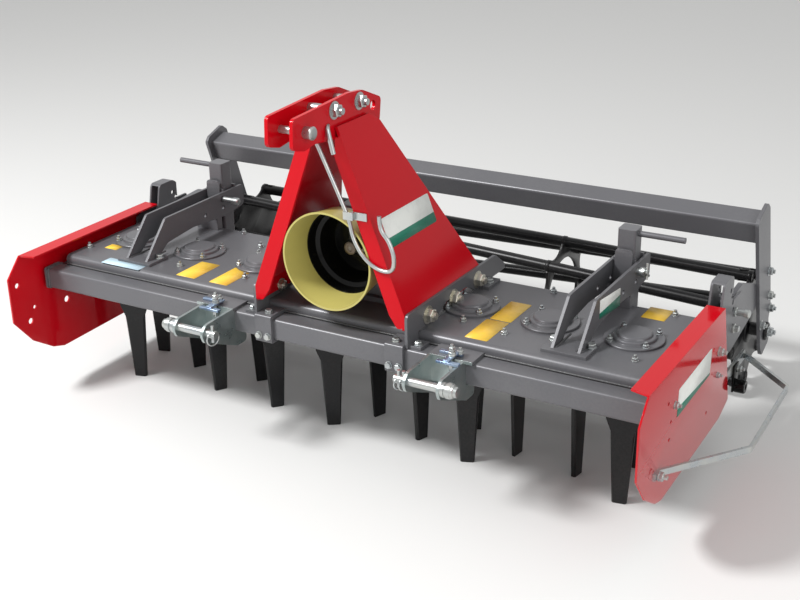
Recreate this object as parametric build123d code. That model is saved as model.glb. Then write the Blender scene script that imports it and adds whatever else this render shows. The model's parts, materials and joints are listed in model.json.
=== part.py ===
from build123d import *
from math import atan2, cos, hypot, radians, sin
import os

# Power harrow for a three-point hitch. Millimetres, +X to the right seen from the front,
# +Y rearwards, +Z up. Modelled about the middle of the row of rotors, on the floor, then
# moved so that the origin lies under the middle of the whole machine.

# Rotors
ROTOR_COUNT = 8
ROTOR_PITCH = 225.0
TINE_REACH = 100.0
TINE_THICKNESS = 12.0
TINE_TIP_WIDTH = 38.0
TINE_HEAD_WIDTH = 86.0
TINE_TOP = 285.0
TINE_SHOULDER = 205.0
TINE_BEVEL = 4.0
CARRIER_BOTTOM = 236.0
CARRIER_TOP = 282.0
CARRIER_WIDTH = 62.0
HUB_RADIUS = 48.0
SHAFT_RADIUS = 25.0
# Angle of each rotor's first tine about its own axis, as they stand
TINE_ANGLES = (-73.0, -32.0, -41.0, -56.0, -20.0, -69.0, -8.0, -80.0)

# Trough
TROUGH_END_ROOM = 112.5
TROUGH_FRONT = -205.0
TROUGH_REAR = 215.0
TROUGH_TOP = 411.0
TROUGH_BOTTOM = 318.0
TROUGH_WALL = 8.0
TROUGH_CORNER = 16.0
HOUSING_RADIUS = 70.0
HOUSING_DEPTH = 30.0
GEAR_MASS_WIDTH = 180.0
GEAR_MASS_HEIGHT = 34.0
GEAR_MASS_END_ROOM = 40.0

# Front beam
BEAM_SIZE = 60.0
BEAM_TOP = 384.0
BEAM_WALL = 4.0
BEAM_CORNER = 8.0
BEAM_OVERHANG = 25.0
CAP_THICKNESS = 6.0
CAP_RIM = 3.0

# Side plates
SIDE_GAP = 44.0
SIDE_THICKNESS = 5.0
SIDE_TOP = 446.0
SIDE_BOTTOM = 112.0
SIDE_FRONT = -397.0
SIDE_REAR = 312.0
SIDE_FLANGE = 49.0

# Roller frame and roller
ROLLER_RADIUS = 186.0
ROLLER_AXIS_Y = 712.0
ROLLER_BAR_RADIUS = 15.0
ROLLER_BARS = 6
ROLLER_TWIST = 60.0
ROLLER_DISC_THICKNESS = 8.0
ROLLER_SIDE_GAP = 44.0
AXLE_RADIUS = 20.0
CORE_RADIUS = 30.0
FRAME_LEAN = 19.0
END_PLATE_THICKNESS = 10.0
REAR_BEAM_SIZE = 70.0
REAR_BEAM_HEIGHT = 378.0
REAR_BEAM_WALL = 5.0
PIVOT_Y = 160.0
PIVOT_Z = 350.0
PIVOT_RADIUS = 15.0
ARM_THICKNESS = 14.0
SECTOR_THICKNESS = 6.0
SECTOR_TOP = 503.0
SECTOR_HOLE_RADIUS = 7.0

# Levelling bar and its arms
LEVEL_INSET = 230.0
LEVEL_TUBE = 50.0
LEVEL_TUBE_WALL = 4.0
LEVEL_TUBE_Y = 256.0
LEVEL_TUBE_TOP = 606.0
LEVEL_BAR_BOTTOM = 70.0
LEVEL_BAR_HEIGHT = 120.0
LEVEL_BAR_THICKNESS = 8.0
LEVEL_BAR_INSET = 10.0
LEVEL_BAR_LIP = 45.0
LEVEL_ARM_THICKNESS = 8.0
LEVEL_ARM_TOP = 523.0
LEVEL_ARM_REAR = 316.0
LEVEL_GAP = 6.0
LEVEL_GRIP_REACH = 150.0

# Hitch: the tower stands to one side of the middle
TOWER_X = 58.0
TOWER_BASE_X = 222.0
TOWER_BASE_Z = 470.0
TOWER_TOP_X = 45.0
TOWER_TOP_Z = 930.0
TOWER_FRONT = -262.0
PANEL_THICKNESS = 8.0
FLANGE_WIDTH = 40.0
BASE_PLATE_THICKNESS = 8.0
TOP_GAP = 60.0
TOP_PLATE_THICKNESS = 10.0
TOP_PIN_RADIUS = 9.5
LINK_PIN_Y = -386.0
TOP_PIN_Z = 946.0
LOWER_PIN_RADIUS = 11.0
LOWER_PIN_Z = 366.0
LOWER_X = 349.0
LOWER_GAP = 84.0
LOWER_EAR = 8.0
FLAP_THICKNESS = 8.0
BORE_RADIUS = 12.5
BORE_Y = -81.0
BORE_Z = 943.0

# Drive
SHAFT_Z = 575.0
INPUT_RADIUS = 17.45
INPUT_TIP = -148.0
INPUT_FREE = 50.0
COLLAR_RADIUS = 26.0
GEARBOX_FRONT = -90.0
GEARBOX_REAR = 128.0
GEARBOX_HALF = 88.0
GEARBOX_TOP = 660.0
CUP_RADIUS = 114.0
CUP_FRONT = -176.0
SHIELD_RADIUS = 129.0
SHIELD_FRONT = -262.0
SHELL = 3.0

# Rods and bars bent from round stock
HOOK_RADIUS = 5.0
GUARD_WIDTH = 16.0
GUARD_THICKNESS = 8.0
GUARD_STAND_OUT = 158.0

# Clearances
RUNNING_GAP = 0.05
LEVEL_RUN_GAP = 0.3
MOVING_GAP = 6.0

# Places that follow from the sizes above
TROUGH_HALF = (ROTOR_COUNT - 1) / 2 * ROTOR_PITCH + TROUGH_END_ROOM
ROTOR_PLACES = [(k - (ROTOR_COUNT - 1) / 2) * ROTOR_PITCH for k in range(ROTOR_COUNT)]
BEAM_REAR = TROUGH_FRONT
BEAM_FRONT = BEAM_REAR - BEAM_SIZE
BEAM_BOTTOM = BEAM_TOP - BEAM_SIZE
SIDE_INNER_X = TROUGH_HALF + SIDE_GAP
SIDE_OUTER_X = SIDE_INNER_X + SIDE_THICKNESS
ARM_INNER_X = TROUGH_HALF + SECTOR_THICKNESS + MOVING_GAP
ARM_OUTER_X = ARM_INNER_X + ARM_THICKNESS
END_PLATE_OUTER_X = ARM_OUTER_X + END_PLATE_THICKNESS
ROLLER_HALF = ARM_OUTER_X - ROLLER_SIDE_GAP
LEVEL_X = TROUGH_HALF - LEVEL_INSET
LEAN = radians(FRAME_LEAN)


def outline(points, corner=0.0):
    """Face inside a closed outline, its corners rounded; corner is one radius, or one for each point."""
    if corner:
        return make_face(FilletPolyline(*points, radius=corner, close=True))
    return make_face(Polyline(*points, close=True))


def block(x0, x1, y0, y1, z0, z1):
    return Pos((x0 + x1) / 2, (y0 + y1) / 2, (z0 + z1) / 2) * Box(abs(x1 - x0), abs(y1 - y0), abs(z1 - z0))


def plate_x(points, x0, x1, corner=0.0):
    """Plate square to X; points are (y, z)."""
    return extrude(Plane.YZ.offset(x0) * outline(points, corner), amount=x1 - x0)


def plate_y(points, y0, y1, corner=0.0):
    """Plate square to Y; points are (x, z)."""
    return extrude(Plane.XZ.offset(-y1) * outline(points, corner), amount=y1 - y0)


def rod_x(y, z, radius, x0, x1):
    return Pos((x0 + x1) / 2, y, z) * Rot(0, 90, 0) * Cylinder(radius, abs(x1 - x0))


def rod_y(x, z, radius, y0, y1):
    return Pos(x, (y0 + y1) / 2, z) * Rot(90, 0, 0) * Cylinder(radius, abs(y1 - y0))


def rod_z(x, y, radius, z0, z1):
    return Pos(x, y, (z0 + z1) / 2) * Cylinder(radius, z1 - z0)


def rod_between(start, end, radius):
    """Round bar from one point to another."""
    line = Edge.make_line(start, end)
    return Solid.make_cylinder(radius, line.length, Plane(origin=start, z_dir=line % 0))


def turned_y(points, z):
    """Body of revolution about the line along Y at height z; points are (y, radius)."""
    profile = make_face(Polyline(*[(0, y, z + radius) for y, radius in points], close=True))
    return revolve(profile, axis=Axis((0, 0, z), (0, 1, 0)))


def square_tube_x(y, z, size, wall, corner, x0, x1, turn=0.0):
    """Hollow square tube along X, turned about its own axis."""
    outer = RectangleRounded(size, size, corner)
    inner = RectangleRounded(size - 2 * wall, size - 2 * wall, corner - wall / 2)
    tube = extrude(Plane.YZ * (outer - inner), amount=x1 - x0)
    return Pos(x0, y, z) * Rot(turn, 0, 0) * tube


def mirrored(shape):
    return mirror(shape, about=Plane.YZ)


def both_sides(shape):
    return Compound([shape, mirrored(shape)])


def fused(shapes):
    whole = shapes[0]
    for shape in shapes[1:]:
        whole += shape
    return whole


def bent_rod(points, radius, bend):
    """Round rod along straight runs joined by arcs."""
    path = FilletPolyline(*points, radius=bend)
    start = Plane(origin=path @ 0, z_dir=path % 0)
    return sweep(start * Circle(radius), path=path)


def in_roller_frame(u, v):
    """(y, z) of a point u rearwards and v up along the leaning end plate, from the roller's axis."""
    return (
        ROLLER_AXIS_Y + u * cos(LEAN) - v * sin(LEAN),
        ROLLER_RADIUS + u * sin(LEAN) + v * cos(LEAN),
    )


# Trough
def make_trough():
    depth = TROUGH_REAR - TROUGH_FRONT
    height = TROUGH_TOP - TROUGH_BOTTOM
    middle = (TROUGH_REAR + TROUGH_FRONT) / 2
    section = RectangleRounded(depth, height, TROUGH_CORNER)
    shell = extrude(Plane.YZ * section, amount=TROUGH_HALF, both=True)
    shell = Pos(0, middle, (TROUGH_TOP + TROUGH_BOTTOM) / 2) * shell
    cavity = block(
        TROUGH_WALL - TROUGH_HALF, TROUGH_HALF - TROUGH_WALL,
        TROUGH_FRONT + TROUGH_WALL, TROUGH_REAR - TROUGH_WALL,
        TROUGH_BOTTOM + TROUGH_WALL, TROUGH_TOP - TROUGH_WALL,
    )
    return shell - cavity


def make_gear_mass():
    floor = TROUGH_BOTTOM + TROUGH_WALL
    half = TROUGH_HALF - TROUGH_WALL - GEAR_MASS_END_ROOM
    return block(-half, half, -GEAR_MASS_WIDTH / 2, GEAR_MASS_WIDTH / 2, floor, floor + GEAR_MASS_HEIGHT)


def make_housings():
    """Bearing housings under the trough, one for each rotor."""
    rings = []
    for x in ROTOR_PLACES:
        ring = rod_z(x, 0, HOUSING_RADIUS, TROUGH_BOTTOM - HOUSING_DEPTH, TROUGH_BOTTOM)
        rings.append(ring - rod_z(x, 0, SHAFT_RADIUS + RUNNING_GAP, TROUGH_BOTTOM - HOUSING_DEPTH, TROUGH_BOTTOM))
    return Compound(rings)


# Profile of a bearing cover on the deck: (radius, height above the deck)
COVER_PROFILE = ((0, 0), (88, 0), (88, 5), (60, 7), (55, 15), (49, 18), (14, 19.5), (0, 20))
COVERED_ROTORS = (0, 1, 2, 5, 6, 7)


def make_covers():
    profile = [(radius, 0, TROUGH_TOP + height) for radius, height in COVER_PROFILE]
    cover = revolve(make_face(Polyline(*profile, close=True)), axis=Axis.Z)
    return Compound([Pos(ROTOR_PLACES[k], 0, 0) * cover for k in COVERED_ROTORS])


# Rotors
def make_carrier():
    """Hub, shaft and tine carrier of a rotor on the Z axis, its tines along X."""
    reach = TINE_REACH - TINE_THICKNESS
    height = CARRIER_TOP - CARRIER_BOTTOM
    bar = block(-reach, reach, -CARRIER_WIDTH / 2, CARRIER_WIDTH / 2, CARRIER_BOTTOM, CARRIER_TOP)
    bar = chamfer(bar.edges().filter_by(Axis.Y), height / 5)
    hub = rod_z(0, 0, HUB_RADIUS, CARRIER_BOTTOM - 14, CARRIER_TOP)
    shaft = rod_z(0, 0, SHAFT_RADIUS, CARRIER_TOP, TROUGH_BOTTOM - 2)
    return bar + hub + shaft


def make_tines():
    """The two knife tines of a rotor: flat, tapered to the tip and bevelled along both edges."""
    head = TINE_HEAD_WIDTH / 2
    tip = TINE_TIP_WIDTH / 2
    points = (
        (-head, TINE_TOP), (head, TINE_TOP), (head, TINE_SHOULDER + 30), (head - 12, TINE_SHOULDER),
        (tip, 0), (-tip, 0), (12 - head, TINE_SHOULDER), (-head, TINE_SHOULDER + 30),
    )
    blade = plate_x(points, TINE_REACH - TINE_THICKNESS, TINE_REACH)
    outer_face = blade.faces().sort_by(Axis.X)[-1]
    long_edges = outer_face.edges().filter_by(lambda edge: edge.length > TINE_SHOULDER / 2)
    blade = chamfer(long_edges, TINE_BEVEL)
    return Compound([blade, Rot(0, 0, 180) * blade])


# Front beam
def make_front_beam():
    half = TROUGH_HALF + BEAM_OVERHANG
    y = (BEAM_FRONT + BEAM_REAR) / 2
    z = (BEAM_TOP + BEAM_BOTTOM) / 2
    beam = square_tube_x(y, z, BEAM_SIZE, BEAM_WALL, BEAM_CORNER, -half, half)
    size = BEAM_SIZE + CAP_RIM
    cap = Pos(0, y - CAP_RIM / 2, z) * extrude(Plane.YZ * RectangleRounded(size, size + CAP_RIM, BEAM_CORNER), amount=CAP_THICKNESS)
    return beam + Pos(half, 0, 0) * cap + Pos(-half - CAP_THICKNESS, 0, 0) * cap


# Side plates: holes as (y, z, radius, side), side +1 on the right and -1 on the left
SIDE_HOLES = (
    (-203, 363, 5, 1), (-178, 305, 5, 1), (-184, 260, 5, 1), (136, 362, 5, 1), (111, 196, 5, 1),
    (-366, 361, 8, -1), (-180, 253, 10, -1), (-310, 275, 6, -1), (-332, 238, 9, -1),
)


def make_side_plate(side):
    points = (
        (-344, SIDE_TOP), (SIDE_FRONT, SIDE_TOP - 58), (SIDE_FRONT, SIDE_TOP - 192), (-331, SIDE_BOTTOM + 62),
        (-258, SIDE_BOTTOM + 14), (-212, SIDE_BOTTOM), (237, SIDE_BOTTOM + 10), (SIDE_REAR, SIDE_BOTTOM + 34), (214, SIDE_TOP),
    )
    plate = plate_x(points, SIDE_INNER_X, SIDE_OUTER_X, 6.0)
    fold = ((SIDE_OUTER_X, -344), (SIDE_OUTER_X, 214), (SIDE_OUTER_X - SIDE_FLANGE, 214), (SIDE_OUTER_X - SIDE_FLANGE, -330))
    flange = extrude(Plane.XY.offset(SIDE_TOP - SIDE_THICKNESS) * outline(fold), amount=SIDE_THICKNESS)
    plate += flange
    for y, z, radius, its_side in SIDE_HOLES:
        if its_side == side:
            plate -= rod_x(y, z, radius, SIDE_INNER_X, SIDE_OUTER_X)
    return plate if side > 0 else mirrored(plate)


def make_side_carriers():
    """Bosses that hold the side plates off the trough's ends, and the pins that the roller arms turn on."""
    front = block(TROUGH_HALF, SIDE_INNER_X, -198, -130, 330, 370)
    pin = rod_x(PIVOT_Y, PIVOT_Z, PIVOT_RADIUS, TROUGH_HALF, SIDE_INNER_X)
    return both_sides(Compound([front, pin]))


# Guard bar on one side: a flat bar bent out from the side plate, and the strap that holds its rear end
GUARD_Z = 212.0
GUARD_BOLT_Y = -273.0
GUARD_REAR = 470.0


def make_guard_bar():
    far = SIDE_OUTER_X + GUARD_STAND_OUT
    near = SIDE_OUTER_X + GUARD_THICKNESS / 2
    points = ((near, GUARD_BOLT_Y - 16, GUARD_Z), (near, GUARD_BOLT_Y + 14, GUARD_Z), (far, -50, GUARD_Z),
              (far - 7, 316, GUARD_Z), (SIDE_INNER_X - 4, GUARD_REAR, GUARD_Z))
    path = FilletPolyline(*points, radius=12.0)
    start = Plane(origin=path @ 0, x_dir=(0, 0, 1), z_dir=path % 0)
    bar = sweep(start * Rectangle(GUARD_WIDTH, GUARD_THICKNESS), path=path)
    strap = block(SIDE_INNER_X - GUARD_THICKNESS, SIDE_INNER_X, 150, GUARD_REAR, GUARD_Z - 14, GUARD_Z + 14)
    bolt = rod_x(GUARD_BOLT_Y, GUARD_Z, 10.0, near, near + GUARD_THICKNESS)
    return bar + strap + bolt


# Levelling bar, held in a pair of arms on each side
def make_level_arms():
    inner = LEVEL_TUBE / 2 + LEVEL_GAP
    width = inner + LEVEL_ARM_THICKNESS
    points = (
        (-165, TROUGH_TOP), (-60, LEVEL_ARM_TOP), (LEVEL_ARM_REAR, LEVEL_ARM_TOP), (LEVEL_ARM_REAR, 458), (228, 446),
        (60, 458), (-60, 448), (-112, TROUGH_TOP),
    )
    corners = (4, 12, 8, 14, 20, 60, 40, 4)
    plates = [
        plate_x(points, LEVEL_X + inner, LEVEL_X + width, corners),
        plate_x(points, LEVEL_X - width, LEVEL_X - inner, corners),
    ]
    for hole_y, hole_z in ((122, 477), (211, 476)):
        plates = [plate - rod_x(hole_y, hole_z, 7, LEVEL_X - width, LEVEL_X + width) for plate in plates]
    guides = []
    for side in (-1, 1):
        face = LEVEL_TUBE_Y + side * (LEVEL_TUBE / 2 + LEVEL_RUN_GAP)
        guides.append(block(LEVEL_X - inner, LEVEL_X + inner, face, face + side * 8, 450, 530))
    front_foot = block(LEVEL_X - width - 20, LEVEL_X + width + 20, -171, -88, TROUGH_TOP, TROUGH_TOP + 8)
    rear_foot = block(LEVEL_X - width, LEVEL_X + width, 176, TROUGH_REAR - TROUGH_CORNER, TROUGH_TOP, 462)
    return fused(plates + guides + [front_foot, rear_foot])


def make_level_tubes():
    """Square tubes that carry the levelling bar, each with a grip rod through its top."""
    half = LEVEL_TUBE / 2
    foot = LEVEL_BAR_BOTTOM + LEVEL_BAR_HEIGHT / 2
    section = RectangleRounded(LEVEL_TUBE, LEVEL_TUBE, 6) - RectangleRounded(
        LEVEL_TUBE - 2 * LEVEL_TUBE_WALL, LEVEL_TUBE - 2 * LEVEL_TUBE_WALL, 3)
    tube = Pos(LEVEL_X, LEVEL_TUBE_Y, foot) * extrude(section, amount=LEVEL_TUBE_TOP - foot)
    inner = half - LEVEL_TUBE_WALL
    lid = block(LEVEL_X - inner, LEVEL_X + inner, LEVEL_TUBE_Y - inner, LEVEL_TUBE_Y + inner,
                LEVEL_TUBE_TOP - LEVEL_TUBE_WALL, LEVEL_TUBE_TOP)
    grip = rod_x(LEVEL_TUBE_Y, LEVEL_TUBE_TOP - 14, 8.0, LEVEL_X - half, LEVEL_X + LEVEL_GRIP_REACH)
    return both_sides(tube + lid + grip)


def make_level_bar():
    """Levelling plate with its upper and lower edges folded back."""
    front = LEVEL_TUBE_Y + LEVEL_TUBE / 2
    half = TROUGH_HALF - LEVEL_BAR_INSET
    top = LEVEL_BAR_BOTTOM + LEVEL_BAR_HEIGHT
    t = LEVEL_BAR_THICKNESS
    points = (
        (front, top), (front + LEVEL_BAR_LIP, top), (front + LEVEL_BAR_LIP, top - t), (front + t, top - t),
        (front + t, LEVEL_BAR_BOTTOM + 20), (front + t + 14, LEVEL_BAR_BOTTOM + 4), (front + 14, LEVEL_BAR_BOTTOM),
        (front, LEVEL_BAR_BOTTOM + 18),
    )
    return plate_x(points, -half, half)


# Sector brackets beside the roller arms: two plates joined by a bent top, with a row of stop holes
def make_sectors():
    points = ((150, 330), (150, 416), (219, 432), (234, SECTOR_TOP), (300, SECTOR_TOP), (404, 420), (392, 325))
    corners = (6, 14, 14, 16, 26, 18, 10)
    outer_x = ARM_OUTER_X + MOVING_GAP + SECTOR_THICKNESS
    body = plate_x(points, TROUGH_HALF, outer_x, corners)
    slot = block(ARM_INNER_X - MOVING_GAP, ARM_OUTER_X + MOVING_GAP, 140, 410, 320, SECTOR_TOP - SECTOR_THICKNESS)
    window = block(TROUGH_HALF, outer_x, 315, 410, 425, SECTOR_TOP)
    body = body - slot - window
    body -= rod_x(PIVOT_Y, PIVOT_Z, PIVOT_RADIUS, TROUGH_HALF, outer_x)
    for degrees in (16, 24, 32, 40):
        y = PIVOT_Y + 175 * cos(radians(degrees))
        z = PIVOT_Z + 175 * sin(radians(degrees))
        body -= rod_x(y, z, SECTOR_HOLE_RADIUS, TROUGH_HALF, outer_x)
    return both_sides(body)


# Roller frame
def make_roller_arms():
    points = (
        (PIVOT_Y - 48, PIVOT_Z), (PIVOT_Y - 20, PIVOT_Z + 45), (300, 415), (454, 425),
        (590, 375), (640, 345), (650, 300), (373, 253), (200, 300), (PIVOT_Y - 20, PIVOT_Z - 42),
    )
    corners = (20, 20, 40, 30, 30, 14, 20, 60, 30, 20)
    arm = plate_x(points, ARM_INNER_X, ARM_OUTER_X, corners)
    return both_sides(arm - rod_x(PIVOT_Y, PIVOT_Z, PIVOT_RADIUS + RUNNING_GAP, ARM_INNER_X, ARM_OUTER_X))


def make_end_plates():
    corners = (
        (-54, 424, 14), (-36, 434, 10), (38, 434, 16), (56, 408, 14), (56, 60, 12), (34, 20, 12), (34, -64, 14),
        (-40, -64, 14), (-52, -20, 10),
    )
    points = [in_roller_frame(u, v) for u, v, radius in corners]
    plate = plate_x(points, ARM_OUTER_X, END_PLATE_OUTER_X, [radius for u, v, radius in corners])
    return both_sides(plate - rod_x(ROLLER_AXIS_Y, ROLLER_RADIUS, AXLE_RADIUS + RUNNING_GAP, ARM_OUTER_X, END_PLATE_OUTER_X))


def make_rear_beam():
    y, z = in_roller_frame(0, REAR_BEAM_HEIGHT)
    return square_tube_x(y, z, REAR_BEAM_SIZE, REAR_BEAM_WALL, 8.0, -ARM_OUTER_X, ARM_OUTER_X, FRAME_LEAN)


# Roller: places of its discs along the half length
DISC_PLACES = (-1.0, -1.0 / 3.0, 1.0 / 3.0, 1.0)
DISC_ARMS = 6
DISC_HOLE_RADIUS = 36.0


def bar_angle(k, place):
    """Angle of bar k about the roller's axis at a place along it, -1 to 1."""
    return radians(-90 + k * 360 / ROLLER_BARS - ROLLER_TWIST * (place + 1) / 2)


def make_roller_bars():
    """Bars of the cage roller, straight from disc to disc and turned a little further at each."""
    bars = []
    reach = ROLLER_RADIUS - ROLLER_BAR_RADIUS
    for k in range(ROLLER_BARS):
        points = []
        for place in DISC_PLACES:
            angle = bar_angle(k, place)
            points.append((place * ROLLER_HALF, ROLLER_AXIS_Y + reach * cos(angle), ROLLER_RADIUS + reach * sin(angle)))
        for start, end in zip(points, points[1:]):
            bars.append(rod_between(start, end, ROLLER_BAR_RADIUS))
    return fused(bars)


def make_roller_discs():
    """Pierced discs that carry the bars, with the tube between them and the axle stubs."""
    rim = ROLLER_RADIUS - 2 * ROLLER_BAR_RADIUS + 8
    half = ROLLER_DISC_THICKNESS / 2
    discs = []
    for place in DISC_PLACES:
        disc = Circle(rim)
        for k in range(DISC_ARMS):
            angle = bar_angle(k + 0.5, place)
            disc -= Pos(100 * cos(angle), 100 * sin(angle)) * Circle(DISC_HOLE_RADIUS)
        middle = Plane(origin=(place * ROLLER_HALF, ROLLER_AXIS_Y, ROLLER_RADIUS), x_dir=(0, 1, 0), z_dir=(1, 0, 0))
        discs.append(extrude(middle * disc, amount=half, both=True))
    core = rod_x(ROLLER_AXIS_Y, ROLLER_RADIUS, CORE_RADIUS, -ROLLER_HALF, ROLLER_HALF)
    axle = rod_x(ROLLER_AXIS_Y, ROLLER_RADIUS, AXLE_RADIUS, -END_PLATE_OUTER_X, END_PLATE_OUTER_X)
    return fused([core, axle] + discs) - make_roller_bars()


# Tower, modelled about its own middle plane
def top_plates_room():
    reach = TOP_GAP / 2 + TOP_PLATE_THICKNESS
    return block(-reach, reach, -450, 20, 880, 1010)


def make_tower_panel():
    """Leaning side panel with its folded front flange and the tab that is bolted to the base plate."""
    rise = TOWER_TOP_Z - TOWER_BASE_Z
    run = TOWER_BASE_X - TOWER_TOP_X
    tilt = atan2(run, rise)
    slope = hypot(run, rise)
    half = PANEL_THICKNESS / 2
    plane = Plane(origin=(TOWER_BASE_X, 0, TOWER_BASE_Z), x_dir=(0, 1, 0), z_dir=(cos(tilt), 0, sin(tilt)))
    side = ((TOWER_FRONT, 0), (TOWER_FRONT, slope), (-112, slope), (-78, slope - 26), (145, 0))
    panel = extrude(plane * outline(side), amount=half, both=True)
    tab = plate_x(((TOWER_FRONT, 428), (TOWER_FRONT, TOWER_BASE_Z + 2), (145, TOWER_BASE_Z + 2), (145, 428)),
                  TOWER_BASE_X - half, TOWER_BASE_X + half, (8, 1, 1, 8))
    flange_top = 905.0
    outer_top = TOWER_BASE_X + half - run / rise * (flange_top - TOWER_BASE_Z)
    front = (
        (TOWER_BASE_X + half, TOWER_BASE_Z), (TOWER_BASE_X + half, 446), (216, 434), (204, 434),
        (TOWER_BASE_X - FLANGE_WIDTH, 466), (outer_top - FLANGE_WIDTH, flange_top), (outer_top, flange_top),
    )
    flange = plate_y(front, TOWER_FRONT, TOWER_FRONT + PANEL_THICKNESS, (20, 8, 6, 6, 12, 2, 2))
    return fused([panel, tab, flange]) - top_plates_room()


def make_top_bracket():
    """Two plates for the upper link, with a web between them."""
    points = (
        (-434, 986), (-190, 998), (-128, 992), (-41, 956), (-50, 896), (-150, 886), (-345, 908), (-392, 902),
        (-438, 914),
    )
    corners = (12, 30, 30, 14, 12, 20, 20, 18, 14)
    gap = TOP_GAP / 2
    plates = []
    for side in (-1, 1):
        plate = plate_x(points, min(side * gap, side * (gap + TOP_PLATE_THICKNESS)),
                        max(side * gap, side * (gap + TOP_PLATE_THICKNESS)), corners)
        plate -= rod_x(LINK_PIN_Y, TOP_PIN_Z, TOP_PIN_RADIUS, -2 * gap, 2 * gap)
        plates.append(plate - rod_x(BORE_Y, BORE_Z, BORE_RADIUS, -2 * gap, 2 * gap))
    web = block(-gap, gap, -300, -110, 908, 914)
    return fused(plates + [web])


def make_top_pins():
    """Upper hitch pin and the two bolts with spacers that hold the plates apart."""
    reach = TOP_GAP / 2 + TOP_PLATE_THICKNESS
    pin = rod_x(LINK_PIN_Y, TOP_PIN_Z, TOP_PIN_RADIUS, -reach - 16, reach)
    pin += rod_x(LINK_PIN_Y, TOP_PIN_Z, 15, reach, reach + 18)
    spacers = [rod_x(y, z, 12, -TOP_GAP / 2, TOP_GAP / 2) for y, z in ((-260, 970), (-146, 968))]
    return Compound([pin] + spacers)


def make_base_plate():
    """Plate that carries one side of the tower: it bridges the beam and the deck and is cut away over a cover."""
    x0 = TOWER_BASE_X + PANEL_THICKNESS / 2
    x1 = x0 + BASE_PLATE_THICKNESS
    foot = BEAM_TOP + FLAP_THICKNESS
    points = (
        (TOWER_FRONT, BEAM_TOP), (TOWER_FRONT, 474), (236, 470), (296, 424), (292, TROUGH_TOP),
        (108, TROUGH_TOP), (62, 437), (-62, 437), (-108, TROUGH_TOP), (TROUGH_FRONT - 1, TROUGH_TOP), (TROUGH_FRONT - 1, BEAM_TOP),
    )
    corners = (1, 12, 24, 8, 5, 12, 26, 26, 12, 2, 1)
    plate = plate_x(points, x0, x1, corners)
    front_foot = block(x1 - 1, x1 + 34, TOWER_FRONT + 6, TROUGH_FRONT - 6, BEAM_TOP, foot)
    rear_foot = block(x1 - 1, x1 + 34, 124, 196, TROUGH_TOP, TROUGH_TOP + FLAP_THICKNESS)
    return fused([plate, front_foot, rear_foot])


def make_beam_clamp():
    """Block round the front beam beneath one leg of the tower."""
    x0 = TOWER_BASE_X - 48
    x1 = TOWER_BASE_X + PANEL_THICKNESS / 2
    clamp = block(x0, x1, BEAM_FRONT - 10, BEAM_REAR - 1, BEAM_BOTTOM - 8, BEAM_TOP + 10)
    clamp = fillet(clamp.edges().filter_by(Axis.X).sort_by(Axis.Y)[:2], 6)
    return clamp - block(x0, x1, BEAM_FRONT, BEAM_REAR, BEAM_BOTTOM, BEAM_TOP)


# Lower hitch brackets, modelled about the tower's middle plane
def make_lower_bracket():
    half = LOWER_GAP / 2
    points = (
        (BEAM_FRONT, BEAM_TOP + FLAP_THICKNESS), (LINK_PIN_Y, LOWER_PIN_Z + 23), (LINK_PIN_Y - 24, LOWER_PIN_Z + 4),
        (LINK_PIN_Y - 12, LOWER_PIN_Z - 24), (-262, 281), (-220, 281), (-220, BEAM_BOTTOM), (BEAM_FRONT, BEAM_BOTTOM),
    )
    corners = (3, 20, 18, 16, 16, 12, 6, 1)
    ears = [
        plate_x(points, LOWER_X + half, LOWER_X + half + LOWER_EAR, corners),
        plate_x(points, LOWER_X - half - LOWER_EAR, LOWER_X - half, corners),
    ]
    reach = half + LOWER_EAR
    web = block(LOWER_X - half, LOWER_X + half, BEAM_FRONT - 8, BEAM_FRONT, BEAM_BOTTOM - 4, BEAM_TOP)
    flap = block(LOWER_X - reach, LOWER_X + reach + 20, BEAM_FRONT - 8, BEAM_REAR - 1, BEAM_TOP, BEAM_TOP + FLAP_THICKNESS)
    shelf = block(LOWER_X - reach, LOWER_X + reach, BEAM_FRONT, -222, BEAM_BOTTOM - 8, BEAM_BOTTOM)
    bracket = fused(ears + [web, flap, shelf])
    return bracket - rod_x(LINK_PIN_Y, LOWER_PIN_Z, LOWER_PIN_RADIUS, LOWER_X - reach, LOWER_X + reach)


def make_lower_pin():
    reach = LOWER_GAP / 2 + LOWER_EAR
    pin = rod_x(LINK_PIN_Y, LOWER_PIN_Z, LOWER_PIN_RADIUS, LOWER_X - reach - 30, LOWER_X + reach)
    return pin + rod_x(LINK_PIN_Y, LOWER_PIN_Z, 15, LOWER_X + reach, LOWER_X + reach + 34)


# Gearbox, input shaft and drive shield, modelled about the tower's middle plane
def make_gearbox():
    base = extrude(Plane.XY.offset(TROUGH_TOP) * RectangleRounded(250, 230, 30), amount=14)
    base = Pos(0, 22, 0) * base
    body = block(-GEARBOX_HALF, GEARBOX_HALF, GEARBOX_FRONT + 14, GEARBOX_REAR, TROUGH_TOP + 10, GEARBOX_TOP)
    body = fillet(body.edges().filter_by(Axis.Z), 24)
    body = fillet(body.faces().sort_by(Axis.Z)[-1].edges(), 12)
    nose = rod_y(0, SHAFT_Z, 76, GEARBOX_FRONT, GEARBOX_FRONT + 30)
    rear_cap = rod_y(0, SHAFT_Z, 62, GEARBOX_REAR - 4, GEARBOX_REAR + 12)
    side_cap = rod_x(22, SHAFT_Z - 20, 58, GEARBOX_HALF - 4, GEARBOX_HALF + 8)
    body = fused([base, body, nose, rear_cap, side_cap])
    return body - rod_y(0, SHAFT_Z, INPUT_RADIUS + 2 + RUNNING_GAP, GEARBOX_FRONT - 1, GEARBOX_FRONT + 40)


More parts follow.
